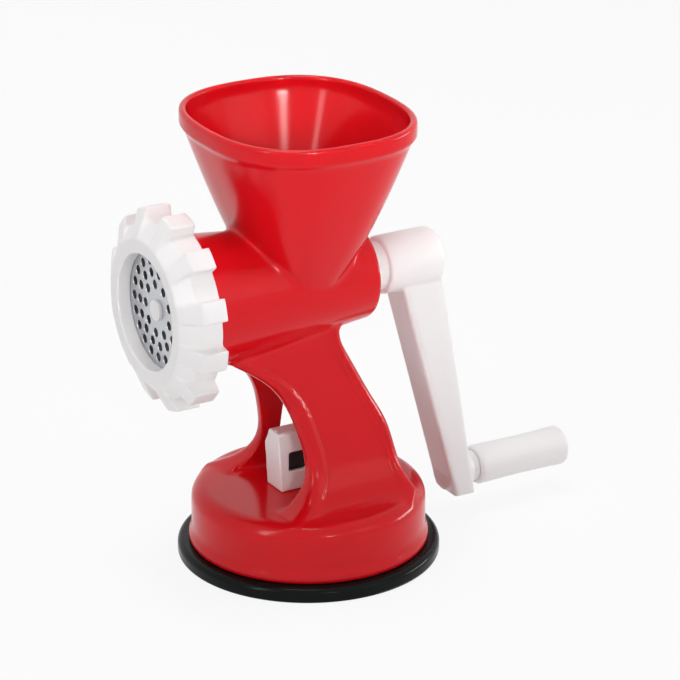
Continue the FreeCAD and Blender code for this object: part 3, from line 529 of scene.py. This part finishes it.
def revolved(profile, start, end, count):
    """Closed mesh of a closed (x, r) profile turned about the X axis; a full turn joins its ends."""
    whole = abs(end - start - TURN) < WELD
    work = bmesh.new()
    rows = []
    for index in range(count if whole else count + 1):
        angle = start + (end - start) * index / count
        rows.append([work.verts.new((x, -r * math.sin(angle), r * math.cos(angle))) for x, r in profile])
    pairs = list(zip(rows, rows[1:] + rows[:1])) if whole else list(zip(rows, rows[1:]))
    for row, following in pairs:
        for index in range(len(profile)):
            after = (index + 1) % len(profile)
            work.faces.new((row[index], row[after], following[after], following[index]))
    if not whole:
        work.faces.new(rows[0])
        work.faces.new(rows[-1])
    bmesh.ops.recalc_face_normals(work, faces=work.faces)
    made = bpy.data.meshes.new("revolved")
    work.to_mesh(made)
    work.free()
    return made


def lug_ring_tree():
    """Node tree that sets copies of a lug round the line along X at a height, a pitch apart."""
    tree = bpy.data.node_groups.new("lug_ring", "GeometryNodeTree")
    sockets = (
        ("Lug", "NodeSocketGeometry"), ("Count", "NodeSocketInt"), ("Start", "NodeSocketFloat"),
        ("Axis height", "NodeSocketFloat"), ("Material", "NodeSocketMaterial"),
    )
    for name, kind in sockets:
        tree.interface.new_socket(name, in_out="INPUT", socket_type=kind)
    tree.interface.new_socket("Lugs", in_out="OUTPUT", socket_type="NodeSocketGeometry")
    graph = Graph(tree)
    group = tree.nodes.new("NodeGroupInput")
    given = {name: Value(graph, group.outputs[name]) for name, _ in sockets}
    angle = graph.node("GeometryNodeInputIndex") * TURN / given["Count"] + given["Start"]
    centre = graph.node("ShaderNodeCombineXYZ", {}, {"Z": given["Axis height"]})
    points = graph.node("GeometryNodeMeshLine", {"mode": "OFFSET"}, {
        "Count": given["Count"], "Start Location": centre, "Offset": (0.0, 0.0, 0.0)})
    turn = graph.node("FunctionNodeEulerToRotation", {}, {
        "Euler": graph.node("ShaderNodeCombineXYZ", {}, {"X": angle})})
    copies = graph.node("GeometryNodeInstanceOnPoints", {}, {
        "Points": points, "Instance": given["Lug"], "Rotation": turn})
    real = graph.node("GeometryNodeRealizeInstances", {}, {"Geometry": copies})
    dressed = graph.node("GeometryNodeSetMaterial", {}, {"Geometry": real, "Material": given["Material"]})
    graph.node("NodeGroupOutput", {}, {"Lugs": dressed})
    return tree


def merged(meshes):
    """One mesh of several."""
    work = bmesh.new()
    for mesh in meshes:
        work.from_mesh(mesh)
    made = bpy.data.meshes.new("merged")
    work.to_mesh(made)
    work.free()
    return made


class GRINDER_OT_nut(bpy.types.Operator):
    """Ring nut: a turned root with lugs set round it"""

    bl_idname = "grinder.nut"
    bl_label = "Ring nut"

    def execute(self, context):
        sizes = context.scene.grinder_sizes
        white = finishes(context.scene.grinder_colours)["white"]
        low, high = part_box("ring_nut")
        front, back = low[0], high[0]
        lip, ridge = front + sizes.nut_lip, front + sizes.nut_cone
        root = revolved([
            (front, sizes.nut_opening), (front, sizes.nut_face), (ridge, sizes.nut_root),
            (back, sizes.nut_root), (back, sizes.nut_bore), (lip, sizes.nut_bore), (lip, sizes.nut_opening),
        ], 0.0, TURN, NUT_FACETS)
        root.transform(Matrix.Translation((0.0, 0.0, AXIS_Z)))
        inner = sizes.nut_bore + LUG_FOOT
        lug = revolved([
            (front, sizes.nut_face), (ridge, sizes.nut_lug), (back, sizes.nut_lug),
            (back, inner), (ridge, inner),
        ], 0.0, TURN / sizes.lug_count * sizes.lug_share, LUG_FACETS)
        lugs = evaluated(lug, "NODES", {"node_group": lug_ring_tree()}, {
            "Count": sizes.lug_count, "Start": sizes.lug_start, "Axis height": AXIS_Z, "Material": white})
        whole = merged([root, lugs])
        skin = moulded(whole, sizes.fitting_step, NUT_ROUNDS, sizes.triangle_limit)
        dress(skin, white)
        piece("ring_nut_moulding", skin, "nut", ["ring_nut"])
        return {"FINISHED"}


def soften(context, node, body, rounds):
    """A white moulded skin in place of a node."""
    sizes = context.scene.grinder_sizes
    skin = moulded(joined([node]), sizes.fitting_step, rounds, sizes.triangle_limit)
    dress(skin, finishes(context.scene.grinder_colours)["white"])
    piece(node + "_moulding", skin, body, [node])


class GRINDER_OT_crank(bpy.types.Operator):
    """Crank arm and turning grip with soft moulded edges"""

    bl_idname = "grinder.crank"
    bl_label = "Crank"

    def execute(self, context):
        soften(context, "crank_arm", "drive", ARM_ROUNDS)
        soften(context, "grip", "grip", GRIP_ROUNDS)
        return {"FINISHED"}


class GRINDER_OT_lever(bpy.types.Operator):
    """Suction lever with soft moulded edges"""

    bl_idname = "grinder.lever"
    bl_label = "Suction lever"

    def execute(self, context):
        soften(context, "suction_lever", "lever", LEVER_ROUNDS)
        return {"FINISHED"}


class GRINDER_OT_fittings(bpy.types.Operator):
    """Finishes on the pieces whose solids stay as they are"""

    bl_idname = "grinder.fittings"
    bl_label = "Fittings"

    def execute(self, context):
        found = finishes(context.scene.grinder_colours)
        worn = {
            "white": ["auger", "rear_bush", "thrust_washer", "grip_collar", "grip_cap"],
            "plate": ["cutting_plate", "knife", "plate_key", "crank_screw", "crank_screw_washer",
                      "lever_pin", "plunger_disc"],
            "grip_steel": ["grip_axle"],
            "rubber": ["suction_cup", "shaft_seal"],
            "black": ["plunger"],
        }
        for finish, nodes in worn.items():
            for node in nodes:
                dress(NODES[node].data, found[finish])
        return {"FINISHED"}


class GRINDER_OT_stage(bpy.types.Operator):
    """White floor, soft lamps, white surroundings and the camera"""

    bl_idname = "grinder.stage"
    bl_label = "Stage"

    def execute(self, context):
        scene = context.scene
        scene.view_settings.view_transform = "Standard"
        self.floor(scene)
        self.surroundings(scene)
        for lamp in LAMPS:
            self.lamp(scene, *lamp)
        self.camera(scene)
        return {"FINISHED"}

    def camera(self, scene):
        camera = bpy.data.objects.new("camera", bpy.data.cameras.new("camera"))
        scene.collection.objects.link(camera)
        azimuth = math.radians(VIEW_AZIMUTH)
        elevation = math.radians(VIEW_ELEVATION)
        back = Vector((
            math.sin(azimuth) * math.cos(elevation),
            -math.cos(azimuth) * math.cos(elevation),
            math.sin(elevation),
        ))
        camera.location = VIEW_TARGET + back * VIEW_DISTANCE
        camera.rotation_mode = "QUATERNION"
        camera.rotation_quaternion = (-back).to_track_quat("-Z", "Y")
        camera.data.lens = VIEW_LENS
        camera.data.sensor_width = VIEW_SENSOR
        camera.data.clip_start, camera.data.clip_end = VIEW_RANGE
        scene.camera = camera

    def seen(self, finish):
        """1 for what the camera, a reflection or a clear piece shows, else 0."""
        path = finish.tree.nodes.new("ShaderNodeLightPath")
        camera = Value(finish, path.outputs["Is Camera Ray"])
        glossy = Value(finish, path.outputs["Is Glossy Ray"])
        clear = Value(finish, path.outputs["Is Transmission Ray"])
        return finish.node("ShaderNodeMath", {"operation": "MAXIMUM"}, {
            0: camera, 1: finish.node("ShaderNodeMath", {"operation": "MAXIMUM"}, {0: glossy, 1: clear})})

    def floor(self, scene):
        mesh = bpy.data.meshes.new("floor")
        corners = [(x * FLOOR_HALF, y * FLOOR_HALF, 0) for x, y in ((-1, -1), (1, -1), (1, 1), (-1, 1))]
        mesh.from_pydata(corners, [], [(0, 1, 2, 3)])
        floor = bpy.data.objects.new("floor", mesh)
        scene.collection.objects.link(floor)
        finish = Finish("white_floor")
        matt = finish.node("ShaderNodeBsdfDiffuse", {}, {"Color": FLOOR_MATT})
        glow = finish.node("ShaderNodeEmission", {}, {"Color": WHITE, "Strength": 1.0})
        share = self.seen(finish) * FLOOR_GLOW
        both = finish.node("ShaderNodeMixShader", {}, {0: share, 1: matt, 2: glow})
        finish.node("ShaderNodeOutputMaterial", {}, {"Surface": both})
        dress(mesh, finish.material)

    def surroundings(self, scene):
        world = bpy.data.worlds.new("white_room")
        scene.world = world
        world.use_nodes = True
        finish = Graph(world.node_tree)
        strength = ROOM_LIGHT + self.seen(finish) * (1.0 - ROOM_LIGHT)
        room = finish.node("ShaderNodeBackground", {}, {"Color": WHITE, "Strength": strength})
        finish.node("ShaderNodeOutputWorld", {}, {"Surface": room})

    def lamp(self, scene, name, place, size, power, aim, spread):
        data = bpy.data.lights.new(name, "AREA")
        data.shape = "RECTANGLE"
        data.size = size[0]
        data.size_y = size[1]
        data.energy = power
        data.spread = spread
        lamp = bpy.data.objects.new(name, data)
        scene.collection.objects.link(lamp)
        lamp.location = place
        lamp.rotation_mode = "QUATERNION"
        lamp.rotation_quaternion = (aim - Vector(place)).to_track_quat("-Z", "Y")


class GRINDER_PT_panel(bpy.types.Panel):
    """Lists the steps that build the grinder"""

    bl_idname = "GRINDER_PT_panel"
    bl_label = "Meat grinder"
    bl_space_type = "VIEW_3D"
    bl_region_type = "UI"
    bl_category = "Grinder"

    def draw(self, context):
        for step in STEPS:
            self.layout.operator(step.bl_idname)


STEPS = (
    GRINDER_OT_body,
    GRINDER_OT_nut,
    GRINDER_OT_crank,
    GRINDER_OT_lever,
    GRINDER_OT_fittings,
    GRINDER_OT_stage,
)
CLASSES = (GrinderSizes, GrinderColours) + STEPS + (GRINDER_PT_panel,)


def register():
    for cls in CLASSES:
        bpy.utils.register_class(cls)
    bpy.types.Scene.grinder_sizes = bpy.props.PointerProperty(type=GrinderSizes)
    bpy.types.Scene.grinder_colours = bpy.props.PointerProperty(type=GrinderColours)


def unregister():
    del bpy.types.Scene.grinder_colours
    del bpy.types.Scene.grinder_sizes
    for cls in reversed(CLASSES):
        bpy.utils.unregister_class(cls)


def main():
    register()
    bpy.ops.grinder.body()
    bpy.ops.grinder.nut()
    bpy.ops.grinder.crank()
    bpy.ops.grinder.lever()
    bpy.ops.grinder.fittings()
    bpy.ops.grinder.stage()


if __name__ == "__main__":
    main()
